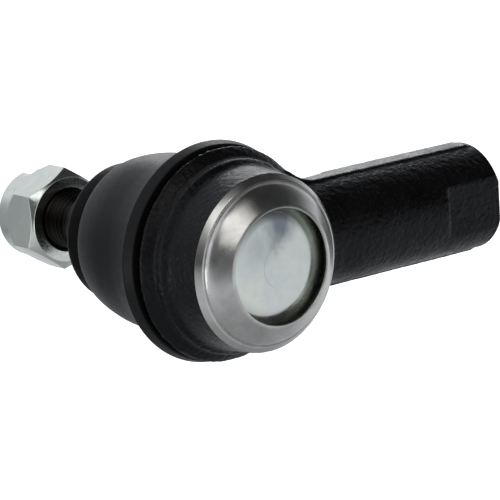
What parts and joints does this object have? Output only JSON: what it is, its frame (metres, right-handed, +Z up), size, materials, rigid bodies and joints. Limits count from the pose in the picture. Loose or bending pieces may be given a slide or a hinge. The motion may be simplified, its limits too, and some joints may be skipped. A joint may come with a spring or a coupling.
{
  "type": "tie rod end",
  "caption": "Outer steering tie rod end: forged head and threaded shank, swaged ball joint with rubber boot, tapered stud and locking nut.",
  "frame": {"origin": "centre of the ball, the pivot point of the joint", "axes": "+Y along the stud towards the nut, +X along the threaded shank towards its open end, +Z up, square to both"},
  "size_m": [0.0894, 0.0846, 0.0454],
  "materials": {
    "forging_paint": "semi-gloss black paint on a forged skin, with bare turned steel on the swaged lip",
    "zinc_plate": "bright bluish zinc plating",
    "spring_steel": "plain spring steel",
    "bearing_plastic": "natural acetal",
    "stud_steel": "dark phosphated steel with a ground ball",
    "boot_rubber": "satin dark grey rubber",
    "seal_ring_black": "black moulded ring",
    "insert_nylon": "blue nylon"
  },
  "bodies": {
    "head": {"housing": "forging_paint", "cover_plate": "zinc_plate", "preload_spring": "spring_steel", "boot_skirt_ring": "spring_steel"},
    "bearing": {"upper_bearing": "bearing_plastic", "lower_bearing": "bearing_plastic", "dust_boot": "boot_rubber"},
    "boot_collar": {"boot_seal_ring": "seal_ring_black"},
    "stud": {"ball_stud": "stud_steel"},
    "insert": {"nut_insert": "insert_nylon"},
    "nut": {"lock_nut": "zinc_plate"}
  },
  "joints": [
    {"name": "swing_direction", "type": "hinge", "parent": "head", "child": "bearing", "pos_m": [0, 0, 0], "axis": [0, 1, 0], "continuous": true},
    {"name": "stud_tilt", "type": "hinge", "parent": "bearing", "child": "boot_collar", "pos_m": [0, 0, 0], "axis": [1, 0, 0], "range_deg": [-25, 25], "deforming": ["dust_boot"]},
    {"name": "stud_spin", "type": "hinge", "parent": "boot_collar", "child": "stud", "pos_m": [0, 0, 0], "axis": [0, 1, 0], "continuous": true},
    {"name": "nut_travel", "type": "slide", "parent": "stud", "child": "insert", "axis": [0, 1, 0], "range_m": [-0.0063, 0.0101]},
    {"name": "nut_turn", "type": "hinge", "parent": "insert", "child": "nut", "pos_m": [0, 0, 0], "axis": [0, 1, 0], "range_deg": [-1800, 2880]}
  ],
  "couplings": [
    {"joint": "nut_travel", "follows": "nut_turn", "m_per_rad": 0.00019894}
  ]
}
